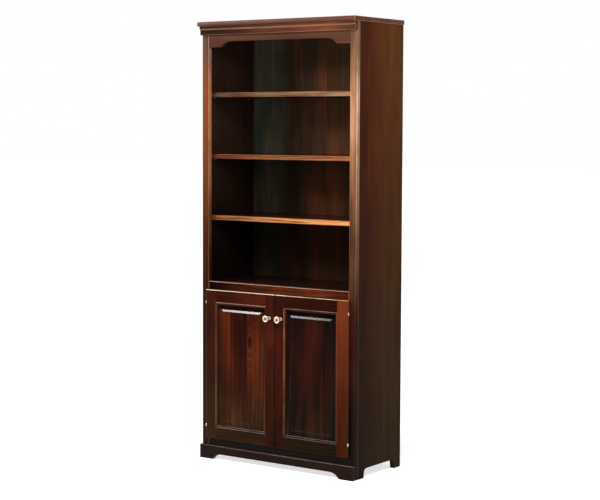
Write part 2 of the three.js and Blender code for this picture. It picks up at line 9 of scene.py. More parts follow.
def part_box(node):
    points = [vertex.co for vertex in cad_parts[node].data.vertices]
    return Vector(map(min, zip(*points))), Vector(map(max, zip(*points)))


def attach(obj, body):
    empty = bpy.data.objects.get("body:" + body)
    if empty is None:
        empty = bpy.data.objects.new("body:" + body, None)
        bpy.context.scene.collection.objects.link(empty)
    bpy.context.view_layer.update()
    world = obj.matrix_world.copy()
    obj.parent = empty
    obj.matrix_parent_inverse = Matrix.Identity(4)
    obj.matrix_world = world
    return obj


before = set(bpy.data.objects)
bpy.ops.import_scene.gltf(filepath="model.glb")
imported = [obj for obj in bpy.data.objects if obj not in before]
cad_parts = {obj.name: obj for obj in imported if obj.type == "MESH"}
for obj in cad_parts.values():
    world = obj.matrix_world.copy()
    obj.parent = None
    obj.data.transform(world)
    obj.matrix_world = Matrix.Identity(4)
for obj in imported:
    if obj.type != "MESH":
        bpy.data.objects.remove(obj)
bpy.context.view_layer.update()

bl_info = {
    "name": "Bookcase with cabinet doors",
    "version": (1, 0, 0),
    "blender": (4, 5, 0),
    "location": "3D View > Sidebar > Bookcase",
    "description": "Stained wood, metal hardware and a studio for a tall bookcase",
    "category": "Object",
}

# Facets that turn by less than this many degrees belong to one curve.
BOARD_FACETS = 17
METAL_FACETS = 32


def linear(code):
    """Linear colour of an sRGB hex code such as "#5a2c18"."""
    shades = [int(code[i:i + 2], 16) / 255 for i in (1, 3, 5)]
    return tuple(s / 12.92 if s <= 0.04045 else ((s + 0.055) / 1.055) ** 2.4 for s in shades)


def rgba(code):
    """The same colour with a full alpha, as a node's socket takes it."""
    return (*linear(code), 1.0)


def add(tree, kind, inputs=None, **settings):
    """Adds a node. An input is a value, a socket, or a node whose first output is linked."""
    node = tree.nodes.new(kind)
    for name, value in settings.items():
        setattr(node, name, value)
    for key, value in (inputs or {}).items():
        if isinstance(value, bpy.types.Node):
            value = value.outputs[0]
        if isinstance(value, bpy.types.NodeSocket):
            tree.links.new(value, node.inputs[key])
        else:
            node.inputs[key].default_value = value
    return node


def new_material(name):
    """An empty node material and its tree."""
    material = bpy.data.materials.new(name)
    material.use_nodes = True
    material.node_tree.nodes.clear()
    return material, material.node_tree


# Wood -------------------------------------------------------------------------------------------

# Each finish of stained cherry: the directions across, through and along the board, the darkest,
# middle and lightest tone of its stain, the width of its glued staves in metres, how strong its
# figure is (0.4 is calm and 1.3 lively), a place in the tree that it is cut from, and the sheen
# of its lacquer.
BOARD_FINISHES = {
    "left_side": ("yxz", "#33211a", "#472c22", "#5a3829", 0.118, 0.4, 3.1, 0.05),
    "right_side": ("yxz", "#32170a", "#52270f", "#74431b", 0.118, 0.45, 5.6, 0.02),
    "left_stile": ("xyz", "#3a1b14", "#5c2f22", "#784637", 0.5, 0.6, 7.7, 0.05),
    # the right stile's tones are lighter than the left stile's, as painted light where it catches
    # the front soft box
    "right_stile": ("xyz", "#52321f", "#8b5c41", "#bc9476", 0.5, 0.9, 8.9, 0.025),
    "top": ("yzx", "#3c2018", "#5c3426", "#7c4a36", 0.11, 0.6, 1.3, 0.06),
    "cornice": ("zyx", "#26110b", "#462414", "#744426", 0.6, 1.1, 5.2, 0.04),
    "arched_rail": ("zyx", "#2f190f", "#4f2d1c", "#69442a", 0.6, 0.7, 9.4, 0.05),
    "middle_rail": ("zyx", "#180805", "#441a0b", "#84421e", 0.6, 1.3, 4.2, 0.015),
    "low_rail": ("zyx", "#120806", "#20100c", "#301a14", 0.6, 0.6, 4.4, 0.04),
    "shelf": ("yzx", "#130b08", "#24120c", "#391c11", 0.11, 0.7, 6.6, 0.06),
    "deck": ("yzx", "#0d0705", "#180c08", "#28140d", 0.11, 0.7, 8.3, 0.06),
    # the back's grey-green darkest tone is partly a painted reflection, of the sheen near its left
    # corner
    "back": ("xyz", "#2d342e", "#463e33", "#865846", 0.135, 0.75, 0.9, 0.012),
    # the left door's hinge stile is darker and greener than the right door's, as painted shade,
    # and the right one redder and lighter, as painted light
    "left_outer_stile": ("xyz", "#17120a", "#2b1b10", "#432916", 0.5, 0.6, 11.3, 0.012),
    "door_stile": ("xyz", "#1c0a06", "#3a120b", "#622512", 0.5, 0.8, 12.8, 0.012),
    "right_outer_stile": ("xyz", "#35130a", "#5a2411", "#74371c", 0.5, 0.6, 10.1, 0.015),
    "door_rail": ("zyx", "#1a0b06", "#36150b", "#542312", 0.5, 0.8, 13.5, 0.012),
    "left_panel": ("xyz", "#170e09", "#361b0e", "#6f411e", 0.085, 0.9, 14.7, 0.012),
    "right_panel": ("xyz", "#0d0a07", "#1e110b", "#462012", 0.085, 0.9, 17.2, 0.012),
}

# Painted shade: tones that darken and tint each finish where less light falls on it. For each: the
# direction that one fades in, the place in metres where it is full, the place where it ends, and
# the tone that it multiplies by.
PAINTED_SHADES = {
    # the inner face of the left side, at x -0.369, is painted darker than the outer one, as its
    # shade
    "left_side": [("x", -0.3694, -0.37, "#a8b2b8"), ("z", 0.85, 1.4, "#8c9090")],
    "right_side": [("z", 0.1, 1.4, "#acd2c8"), ("y", -0.1, 0.06, "#ceb8a8"),
                   ("y", 0.17, -0.02, "#ecffec")],
    "left_stile": [("z", 0.7, 1.5, "#7a7068"), ("z", 1.72, 1.58, "#d0ffff"),
                   ("z", 1.58, 1.72, "#fffabc"), ("z", 0.6, 0.8, "#ddd7b3")],
    # the right stile is painted darker towards the bottom and at its top, as painted shade
    "right_stile": [("z", 0.5, 1.68, "#6c625a"), ("z", 1.7, 1.5, "#a49e98"),
                    ("z", 0.66, 0.86, "#e0aea8"), ("z", 0.22, 0.5, "#92c2c8")],
    # the bottom rail is painted darker than the apron below it, as the shade under the doors
    "low_rail": [("z", 0.062, 0.0585, "#bcbcbc")],
    # the cornice, the rails and the shelves are painted darker along part of their length, as
    # painted shade
    "cornice": [("x", -0.38, 0.3, "#9c8c88")],
    "arched_rail": [("x", 0.05, 0.3, "#e7d8d8")],
    "middle_rail": [("x", -0.35, -0.05, "#50423c"), ("x", 0.34, 0.1, "#b4a89c")],
    "shelf": [("x", -0.36, 0.3, "#b4a69c")],
    # the back is painted darker in the lower bays, as painted shade, and grey-green towards its
    # left end, as a painted reflection
    "back": [("z", 0.8, 1.5, "#b4aca4"), ("x", -0.175, -0.235, "#eab492"),
             ("x", -0.07, 0.0, "#cbe2ff"), ("x", -0.235, -0.175, "#faffdd")],
    "right_outer_stile": [("z", 0.15, 0.65, "#a8b0a8")],
    "left_outer_stile": [("z", 0.1, 0.6, "#f0ffec"), ("z", 0.42, 0.2, "#ffbcd0")],
    "door_stile": [("z", 0.1, 0.6, "#aacabc")],
    "door_rail": [("z", 0.1, 0.6, "#b5fffe"), ("z", 0.5, 0.3, "#f3e1da"),
                  ("x", 0.03, -0.02, "#ccd0c8")],
    # the last tone of each panel paints the strip under its top rail darker, as the rail's shadow
    "left_panel": [("z", 0.6, 0.42, "#e2d8d2"), ("z", 0.36, 0.2, "#e7b8c3"),
                   ("z", 0.64, 0.634, "#70726e")],
    "right_panel": [("z", 0.12, 0.6, "#c8f0e0"), ("z", 0.36, 0.18, "#f1cee0"),
                    ("z", 0.64, 0.634, "#8a8e8a")],
}

# The width in metres of the moulded edge round the opening of each door.
STICKING = 0.009
# The width in metres of the solid strip along the front edge of a shelf.
NOSING = 0.012

# The moulded parts of a board that are polished, and how much of the set sheen each one takes.
MOULDINGS = {"moulding": 1.0}
PANEL_BEVELS = {
    "left_panel": {"upper_bevel": 1.6, "other_bevels": 0.65},
    "right_panel": {"upper_bevel": 0.75, "other_bevels": 0.65},
}


def edge_highlights_and_wear():
    """Pale lines along the edges of each finish: painted highlights where the rounded arrises
    catch the light, partly stain that handling rubbed thin. For each: the direction that the place
    is measured in, the place, half the width of the line, its tone, the height where it starts,
    the height where it is full, and the height where it ends."""
    top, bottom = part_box("door_left_top_rail"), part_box("door_left_bottom_rail")
    inner_top, inner_bottom = top[0].z + STICKING, bottom[1].z - STICKING
    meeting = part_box("door_right_meeting_stile")[1].x - STICKING
    left_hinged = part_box("door_left_hinge_stile")[1].x - STICKING
    right_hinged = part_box("door_right_hinge_stile")[0].x + STICKING
    left_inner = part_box("face_frame_stile_left")[1].x
    right_inner, right_outer = (corner.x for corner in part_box("face_frame_stile_right"))
    opening = (inner_bottom, inner_bottom + 0.01, inner_top)
    whole = (-1.0, 0.0, 3.0)
    lip = ("z", top[1].z - 0.002, 0.0012)
    return {
        "door_rail": [(*lip, "#e2d1c1", *whole),
                      ("z", inner_top, 0.0015, "#bda08e", *whole),
                      ("z", inner_bottom, 0.0013, "#bd7876", *whole)],
        "door_stile": [(*lip, "#d8b8a4", *whole),
                       ("x", meeting, 0.0026, "#9a5a2a", *opening)],
        "left_outer_stile": [(*lip, "#d8faca", *whole),
                             ("x", left_hinged, 0.0018, "#7a623d", *opening)],
        "right_outer_stile": [(*lip, "#a07860", *whole),
                              ("x", right_hinged, 0.0012, "#8a4c34", *opening)],
        "low_rail": [("z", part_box("base_apron")[1].z - 0.001, 0.001, "#4c3c38", *whole)],
        "left_stile": [("x", left_inner, 0.002, "#b47a6f", 0.7, 1.2, 3.0)],
        "right_stile": [("x", right_outer - 0.001, 0.003, "#be9a7e", 0.6, 1.3, 3.0),
                        ("x", right_inner, 0.002, "#b47a50", 0.7, 1.2, 3.0)],
    }


# A knot of each board that has one: its place across and along the board in metres.
KNOTS = {
    "left_panel": (-0.13, 0.505),
    "back": (0.16, 1.13),
}

BOARDS = {
    "side_panel_left": "left_side",
    "side_panel_right": "right_side",
    "face_frame_stile_left": "left_stile",
    "face_frame_stile_right": "right_stile",
    "top_board": "top",
    "cornice_moulding": "cornice",
    "arched_top_rail": "arched_rail",
    "middle_rail": "middle_rail",
    "bottom_rail": "low_rail",
    "base_apron": "low_rail",
    "fixed_deck": "deck",
    "cabinet_floor": "deck",
    "back_panel": "back",
    "hanging_rail": "deck",
}
# Boards whose edges take their faces' material, without the pale arris and its painted highlight.
DARK_EDGED = {"arched_top_rail", "bottom_rail"}
# The loose shelves and the tone of the solid strip along their front edge.
SHELVES = {"cabinet_shelf": "#5f3820", "lower_shelf": "#d08c50", "middle_shelf": "#8c5630",
           "upper_shelf": "#7e6248"}
SIDES = ("left", "right")
# The boards of a door and their finishes on the left and the right door.
DOOR_BOARDS = {
    "hinge_stile": ("left_outer_stile", "right_outer_stile"),
    "meeting_stile": ("door_stile", "door_stile"),
    "top_rail": ("door_rail", "door_rail"),
    "bottom_rail": ("door_rail", "door_rail"),
    "raised_panel": ("left_panel", "right_panel"),
}

# The layers of the figure, in cells per metre across, through and along the board.
STREAKS = (22, 22, 2.2)      # soft, about 45 mm wide
STRANDS = (85, 85, 5)        # about 12 mm wide
BLOTCHES = (6, 6, 3.4)       # of stain, about 160 mm wide
FIBRES = (520, 520, 9)       # drawn 2 mm wide
PORES = (1250, 1250, 70)     # short dark dashes, drawn 0.8 mm wide, four times the real width
RING_BANDS = 16.0            # growth rings met by the saw, about 20 mm apart
# How far a stave is moved along each direction of the figure, at most, in metres.
STAVE_SHIFT = (3.0, 2.0, 5.0)
# The grain wanders up to 12 mm aside over about 400 mm: cells per metre, and the noise's reach.
GRAIN_BENDS = (4.0, 4.0, 2.4)
GRAIN_DRIFT = 0.06
# How far from the middle of its noise a board is at its darkest or lightest, for a figure of 1.
TONE_REACH = 0.15
# How much the roughness of the lacquer changes along the fibres, and how strong the relief of
# the grain is, on the face of a board and on a polished moulding.
FLAT_LACQUER = (0.04, 0.08)
POLISHED_LACQUER = (0.006, 0.004)
# Wear and the painted edge highlights come and go every 60 mm or so: cells per metre.
WEAR_AND_HIGHLIGHT_CELLS = 16.0
# The share of its half width that a painted edge highlight fades over, to each side.
LINE_BLUR = 0.4
# A rubbed arris, paler partly as a painted highlight: its darkest and lightest tone, and how rough
# it is where least and most worn.
ARRIS_TONES = ("#4a2616", "#a06a42")
ARRIS_GLOSS = (0.26, 0.38)
# Painted shade in the recesses of the doors, partly wiping stain left in the corners: its tone,
# and how wide the recesses are in metres.
RECESS_SHADE = "#0d0705"
RECESS_SHADE_REACH = 0.014
WHITE = "#ffffff"


def board_places(tree, axes, stave_width, seed):
    """Places across, through and along a board, shifted from stave to stave, and the stave's
    own random numbers."""
    place = add(tree, "ShaderNodeTexCoord").outputs["Object"]
    split = add(tree, "ShaderNodeSeparateXYZ", {0: place})
    across, through, along = (split.outputs["xyz".index(a)] for a in axes)
    count = add(tree, "ShaderNodeMath", {0: across, 1: stave_width}, operation="DIVIDE")
    moved = add(tree, "ShaderNodeMath", {0: count, 1: seed}, operation="ADD")
    stave = add(tree, "ShaderNodeMath", {0: moved}, operation="FLOOR")
    chance = add(tree, "ShaderNodeTexWhiteNoise", {"W": stave}, noise_dimensions="1D")
    luck = add(tree, "ShaderNodeSeparateXYZ", {0: chance.outputs["Color"]})
    shift = add(tree, "ShaderNodeVectorMath", {0: chance.outputs["Color"], 1: STAVE_SHIFT},
                operation="MULTIPLY")
    joined = add(tree, "ShaderNodeCombineXYZ", {0: across, 1: through, 2: along})
    slow = add(tree, "ShaderNodeVectorMath", {0: joined, 1: GRAIN_BENDS}, operation="MULTIPLY")
    bends = add(tree, "ShaderNodeTexNoise", {"Vector": slow, "Scale": 1.0, "Detail": 1.0})
    aside = add(tree, "ShaderNodeMath", {0: bends.outputs[0], 1: GRAIN_DRIFT},
                operation="MULTIPLY")
    drift = add(tree, "ShaderNodeCombineXYZ", {0: aside})
    bent = add(tree, "ShaderNodeVectorMath", {0: joined, 1: drift}, operation="ADD")
    vector = add(tree, "ShaderNodeVectorMath", {0: bent, 1: shift}, operation="ADD")
    return vector, luck


def stretched_noise(tree, vector, scale, detail, roughness=0.55):
    """Noise drawn out along the grain: scale gives cells per metre across, through, along."""
    size = add(tree, "ShaderNodeVectorMath", {0: vector, 1: scale}, operation="MULTIPLY")
    return add(tree, "ShaderNodeTexNoise",
               {"Vector": size, "Scale": 1.0, "Detail": detail, "Roughness": roughness})


def weighted(tree, parts):
    """Sum of sockets times weights."""
    total = None
    for socket, weight in parts:
        share = add(tree, "ShaderNodeMath", {0: socket, 1: weight}, operation="MULTIPLY")
        if total is None:
            total = share
        else:
            total = add(tree, "ShaderNodeMath", {0: total, 1: share}, operation="ADD")
    return total


def knotted(tree, tone, across, along):
    """Bends growth rings round a knot, and gives the knot a dark heart. Lengths are in metres."""
    stretch, crooked, wavering = (1.0, 0.0, 0.32), (30, 30, 12), 0.024
    ring_gap, ring_fade, ring_strength = 0.011, (0.008, 0.06), 0.045
    heart_edge, heart_depth = (0.014, 0.024), 0.14
    place = add(tree, "ShaderNodeTexCoord").outputs["Object"]
    apart = add(tree, "ShaderNodeVectorMath", {0: place, 1: (across, 0.0, along)},
                operation="SUBTRACT")
    drawn = add(tree, "ShaderNodeVectorMath", {0: apart, 1: stretch}, operation="MULTIPLY")
    bend = stretched_noise(tree, apart, crooked, 2.0)
    wander = add(tree, "ShaderNodeMath", {0: bend.outputs[0], 1: wavering}, operation="MULTIPLY")
    reach = add(tree, "ShaderNodeVectorMath", {0: drawn}, operation="LENGTH")
    warped = add(tree, "ShaderNodeMath", {0: reach.outputs["Value"], 1: wander}, operation="ADD")
    turns = add(tree, "ShaderNodeMath", {0: warped, 1: math.tau / ring_gap},
                operation="MULTIPLY")
    rings = add(tree, "ShaderNodeMath", {0: turns}, operation="SINE")
    fade = add(tree, "ShaderNodeMapRange",
               {"Value": reach.outputs["Value"], "From Min": ring_fade[0],
                "From Max": ring_fade[1], "To Min": ring_strength, "To Max": 0.0})
    waves = add(tree, "ShaderNodeMath", {0: rings, 1: fade}, operation="MULTIPLY")
    heart = add(tree, "ShaderNodeMapRange",
                {"Value": warped, "From Min": heart_edge[0], "From Max": heart_edge[1],
                 "To Min": -heart_depth, "To Max": 0.0}, interpolation_type="SMOOTHSTEP")
    return weighted(tree, [(tone, 1.0), (waves, 1.0), (heart, 1.0)])


def painted_edge_line(tree, colour, direction, place, half, tone, start, full, end):
    """Draws a pale line along an edge: a painted highlight, partly stain that rubbing thinned."""
    spot = add(tree, "ShaderNodeTexCoord").outputs["Object"]
    split = add(tree, "ShaderNodeSeparateXYZ", {0: spot})
    off = add(tree, "ShaderNodeMath", {0: split.outputs["xyz".index(direction)], 1: place},
              operation="SUBTRACT")
    near = add(tree, "ShaderNodeMath", {0: off}, operation="ABSOLUTE")
    patches = add(tree, "ShaderNodeTexNoise", {"Vector": spot, "Scale": WEAR_AND_HIGHLIGHT_CELLS, "Detail": 2.0})
    most = add(tree, "ShaderNodeMapRange",
               {"Value": patches, "From Min": 0.3, "From Max": 0.6, "To Min": 0.5, "To Max": 1.0})
    line = add(tree, "ShaderNodeMapRange",
               {"Value": near, "From Min": (1 - LINE_BLUR) * half,
                "From Max": (1 + LINE_BLUR) * half, "To Min": most, "To Max": 0.0})
    rise = add(tree, "ShaderNodeMapRange",
               {"Value": split.outputs[2], "From Min": start, "From Max": full})
    under = add(tree, "ShaderNodeMath", {0: split.outputs[2], 1: end}, operation="LESS_THAN")
    reach = add(tree, "ShaderNodeMath", {0: rise, 1: under}, operation="MULTIPLY")
    share = add(tree, "ShaderNodeMath", {0: line, 1: reach}, operation="MULTIPLY")
    return add(tree, "ShaderNodeMix", {0: share, 6: colour, 7: rgba(tone)},
               data_type="RGBA").outputs[2]


def painted_shade_over(tree, colour, direction, full, clear, shade_tone):
    """Multiplies a colour by a tone of painted shade, which fades from one place to another."""
    place = add(tree, "ShaderNodeTexCoord").outputs["Object"]
    split = add(tree, "ShaderNodeSeparateXYZ", {0: place})
    fade = add(tree, "ShaderNodeMapRange",
               {"Value": split.outputs["xyz".index(direction)], "From Min": full,
                "From Max": clear}, interpolation_type="SMOOTHSTEP")
    shade = add(tree, "ShaderNodeMix", {0: fade, 6: rgba(shade_tone), 7: rgba(WHITE)},
                data_type="RGBA")
    return add(tree, "ShaderNodeMix", {0: 1.0, 6: colour, 7: shade.outputs[2]},
               data_type="RGBA", blend_type="MULTIPLY").outputs[2]


def stained_cherry(finish, part="", polish=0.0):
    """Cherry boards under a dark wiping stain and satin lacquer: soft dark streaks and broad
    ring figure along the grain, a tone of its own for every glued stave, and a low sheen, with
    painted edge highlights and painted shade laid over them. A moulded part is polished brighter."""
    axes, dark, middle, light, stave_width, figure, seed, sheen = BOARD_FINISHES[finish]
    settings = bpy.context.scene.bookcase_wood
    if part:
        name, rough = f"{finish}_{part}", settings.moulding_roughness
        uneven, relief_strength = POLISHED_LACQUER
        sheen = settings.moulding_sheen * polish
    else:
        name, rough = finish, settings.lacquer_roughness
        uneven, relief_strength = FLAT_LACQUER
    material, tree = new_material(f"stained_cherry_{name}")
    vector, luck = board_places(tree, axes, stave_width, seed)

    streaks = stretched_noise(tree, vector, STREAKS, 1.5)
    strands = stretched_noise(tree, vector, STRANDS, 2.0)
    blotches = stretched_noise(tree, vector, BLOTCHES, 2.0)
    fibres = stretched_noise(tree, vector, FIBRES, 2.0)
    # the rings wander along the board ten times as slowly as across it
    flat = add(tree, "ShaderNodeVectorMath", {0: vector, 1: (1.0, 1.0, 0.1)}, operation="MULTIPLY")
    rings = add(tree, "ShaderNodeTexWave",
                {"Vector": flat, "Scale": RING_BANDS, "Distortion": 8.0, "Detail": 2.0,
                 "Detail Scale": 0.9, "Detail Roughness": 0.5},
                wave_type="BANDS", bands_direction="X", wave_profile="SIN")
    tone = weighted(tree, [(streaks.outputs[0], 0.34), (strands.outputs[0], 0.07),
                           (blotches.outputs[0], 0.42), (rings.outputs["Fac"], 0.04),
                           (fibres.outputs[0], 0.03), (luck.outputs[0], 0.1)])
    if finish in KNOTS:
        tone = knotted(tree, tone, *KNOTS[finish])
    spread = add(tree, "ShaderNodeMapRange",
                 {"Value": tone, "From Min": 0.5 - TONE_REACH / figure,
                  "From Max": 0.5 + TONE_REACH / figure})
    ramp = add(tree, "ShaderNodeValToRGB", {0: spread.outputs[0]})
    ramp.color_ramp.interpolation = "B_SPLINE"
    ramp.color_ramp.elements[0].color = rgba(dark)
    ramp.color_ramp.elements[1].color = rgba(light)
    ramp.color_ramp.elements.new(0.5).color = rgba(middle)

    pores = stretched_noise(tree, vector, PORES, 0.0)
    pits = add(tree, "ShaderNodeMapRange",
               {"Value": pores.outputs[0], "From Min": 0.33, "From Max": 0.42,
                "To Min": 0.7, "To Max": 1.0})
    colour = add(tree, "ShaderNodeMix", {0: pits, 6: rgba(dark), 7: ramp},
                 data_type="RGBA", blend_type="MIX").outputs[2]
    for edge in edge_highlights_and_wear().get(finish, ()):
        colour = painted_edge_line(tree, colour, *edge)
    for shade_tone in PAINTED_SHADES.get(finish, ()):
        colour = painted_shade_over(tree, colour, *shade_tone)
    gloss = add(tree, "ShaderNodeMapRange",
                {"Value": fibres.outputs[0], "From Min": 0.2, "From Max": 0.8,
                 "To Min": rough - uneven, "To Max": rough + uneven})
    grain = add(tree, "ShaderNodeMath", {0: pits, 1: fibres.outputs[0]}, operation="ADD")
    relief = add(tree, "ShaderNodeBump",
                 {"Strength": relief_strength, "Distance": 0.0003, "Height": grain})
    shader = add(tree, "ShaderNodeBsdfPrincipled",
                 {"Base Color": colour, "Roughness": gloss.outputs[0], "IOR": 1.5,
                  "Specular IOR Level": sheen, "Normal": relief})
    add(tree, "ShaderNodeOutputMaterial", {"Surface": shader})
    return material


def board_materials(finish):
    """The materials of a board: its faces first, and then its moulded parts."""
    parts = PANEL_BEVELS.get(finish, MOULDINGS)
    return [stained_cherry(finish),
            *(stained_cherry(finish, part, polish) for part, polish in parts.items())]


def arris_wear_and_highlight():
    """Edges where sanding thinned the stain and the lacquer built up: shinier, and paler partly as
    a painted highlight. paler and shinier.
    """
    material, tree = new_material("rubbed_cherry_arris")
    place = add(tree, "ShaderNodeTexCoord").outputs["Object"]
    patches = add(tree, "ShaderNodeTexNoise", {"Vector": place, "Scale": WEAR_AND_HIGHLIGHT_CELLS, "Detail": 3.0})
    dark, light = ARRIS_TONES
    colour = add(tree, "ShaderNodeMix", {0: patches, 6: rgba(dark), 7: rgba(light)},
                 data_type="RGBA")
    gloss = add(tree, "ShaderNodeMapRange",
                {"Value": patches, "To Min": ARRIS_GLOSS[0], "To Max": ARRIS_GLOSS[1]})
    shader = add(tree, "ShaderNodeBsdfPrincipled",
                 {"Base Color": colour.outputs[2], "Roughness": gloss.outputs[0], "IOR": 1.5})
    add(tree, "ShaderNodeOutputMaterial", {"Surface": shader})
    return material


def opened(material):
    """The tree of a material, its shader, and the socket that the shader's colour comes from."""
    tree = material.node_tree
    shader = next(n for n in tree.nodes if n.bl_idname == "ShaderNodeBsdfPrincipled")
    return tree, shader, shader.inputs["Base Color"].links[0].from_socket


def shaded_recesses(material):
    """Darkens the recesses of a board by their occlusion: painted shade, partly wiping stain that
    stays in the corners.
    """
    tree, shader, colour = opened(material)
    corners = add(tree, "ShaderNodeAmbientOcclusion", {"Distance": RECESS_SHADE_REACH}, samples=8)
    depth = add(tree, "ShaderNodeMapRange",
                {"Value": corners.outputs["AO"], "From Min": 0.5, "From Max": 0.95})
    mixed = add(tree, "ShaderNodeMix", {0: depth, 6: rgba(RECESS_SHADE), 7: colour}, data_type="RGBA")
    tree.links.new(mixed.outputs[2], shader.inputs["Base Color"])
    return material


def nosed(material, front, light):
    """Gives a shelf a paler solid strip along its front edge, where the stain took less."""
    tree, shader, colour = opened(material)
    place = add(tree, "ShaderNodeTexCoord").outputs["Object"]
    split = add(tree, "ShaderNodeSeparateXYZ", {0: place})
    strip = add(tree, "ShaderNodeMath", {0: split.outputs[1], 1: front}, operation="LESS_THAN")
    # streaks about 6 mm wide that run along the edge
    streaks = stretched_noise(tree, place, (7, 160, 160), 3.0)
    spread = add(tree, "ShaderNodeMapRange",
                 {"Value": streaks.outputs[0], "From Min": 0.3, "From Max": 0.65})
    tint = add(tree, "ShaderNodeMix", {0: spread, 6: rgba("#4a2614"), 7: rgba(light)},
               data_type="RGBA")
    pale = tint.outputs[2]
    for shade_tone in PAINTED_SHADES["shelf"]:
        pale = painted_shade_over(tree, pale, *shade_tone)
    mixed = add(tree, "ShaderNodeMix", {0: strip, 6: colour, 7: pale}, data_type="RGBA")
    tree.links.new(mixed.outputs[2], shader.inputs["Base Color"])
    return material


# Metal ------------------------------------------------------------------------------------------

# Each plated metal: its tone, the tone of its clouds, and its roughness.
METALS = {
    "satin_nickel": ("#d6cdb4", "#a89d80", 0.24),
    "satin_nickel_knob": ("#f2e2d4", "#cfc0a8", 0.2),
    "zinc_plated_steel": ("#c3c2bc", "#9c9b96", 0.36),
}
# Cells per metre: brushing lines drawn 0.4 mm apart, and clouds about 8 mm wide.
BRUSHING = (300, 300, 2500)
CLOUDS = (120, 120, 120)
# How much the roughness changes from line to line.
UNEVEN_GLOSS = 0.07
# The knobs: the tone of the painted dark reflection in the dish, the distances from its middle
# where it is full and where it ends, the depths behind the front where the brushed neck begins
# and where it is at its roughest, and how much rougher it is.
DISH_SHADE = "#77735a"
DISH_SHADE_EDGE = (0.0066, 0.0104)
NECK = (0.0098, 0.0112)
NECK_ROUGHER = 0.3


def plated_metal(name):
    """Plated and lightly brushed metal: bright, with soft reflections and faint tone changes."""
    base, shade, roughness = METALS[name]
    material, tree = new_material(name)
    place = add(tree, "ShaderNodeTexCoord").outputs["Object"]
    lines = stretched_noise(tree, place, BRUSHING, 2.0)
    clouds = stretched_noise(tree, place, CLOUDS, 3.0)
    colour = add(tree, "ShaderNodeMix", {0: clouds, 6: rgba(shade), 7: rgba(base)},
                 data_type="RGBA")
    gloss = add(tree, "ShaderNodeMapRange",
                {"Value": lines.outputs[0], "To Min": roughness - UNEVEN_GLOSS,
                 "To Max": roughness + UNEVEN_GLOSS})
    relief = add(tree, "ShaderNodeBump", {"Strength": 0.08, "Distance": 0.0001, "Height": lines})
    shader = add(tree, "ShaderNodeBsdfPrincipled",
                 {"Base Color": colour.outputs[2], "Metallic": 1.0, "Roughness": gloss.outputs[0],
                  "Normal": relief})
    add(tree, "ShaderNodeOutputMaterial", {"Surface": shader})
    return material


def hollowed(material, across, front, height):
    """A painted dark reflection in the dished face of a knob, and a brushed neck and foot
    behind its buffed head. The place across is the same on both sides of the middle."""
    tree, shader, colour = opened(material)
    place = add(tree, "ShaderNodeTexCoord").outputs["Object"]
    split = add(tree, "ShaderNodeSeparateXYZ", {0: place})
    side = add(tree, "ShaderNodeMath", {0: split.outputs[0]}, operation="ABSOLUTE")
    near = add(tree, "ShaderNodeCombineXYZ", {0: side, 1: split.outputs[1], 2: split.outputs[2]})
    apart = add(tree, "ShaderNodeVectorMath", {0: near, 1: (across, front, height)},
                operation="DISTANCE")
    bright = add(tree, "ShaderNodeMapRange",
                 {"Value": apart.outputs["Value"], "From Min": DISH_SHADE_EDGE[0],
                  "From Max": DISH_SHADE_EDGE[1]}, interpolation_type="SMOOTHSTEP")
    mixed = add(tree, "ShaderNodeMix", {0: bright, 6: rgba(DISH_SHADE), 7: colour},
                data_type="RGBA")
    tree.links.new(mixed.outputs[2], shader.inputs["Base Color"])
    gloss = shader.inputs["Roughness"].links[0].from_socket
    behind = add(tree, "ShaderNodeMapRange",
                 {"Value": split.outputs[1], "From Min": front + NECK[0],
                  "From Max": front + NECK[1]})
    brushed = add(tree, "ShaderNodeMath", {0: behind, 1: NECK_ROUGHER}, operation="MULTIPLY")
    rougher = add(tree, "ShaderNodeMath", {0: gloss, 1: brushed}, operation="ADD")
    tree.links.new(rougher.outputs[0], shader.inputs["Roughness"])
    return material


# Edges ------------------------------------------------------------------------------------------

# Corners closer than this many metres are one.
WELD = 0.00001
# A face is moulded where no side of the board has this much of its direction, and looks up where
# its direction rises by more than this.
SQUARE = 0.985
UPWARD = 0.2
# In degrees: how far faces may turn and still be one flat face, and how far an edge must turn to
# be an arris.
FLAT_TURN = 0.5
ARRIS_TURN = 35


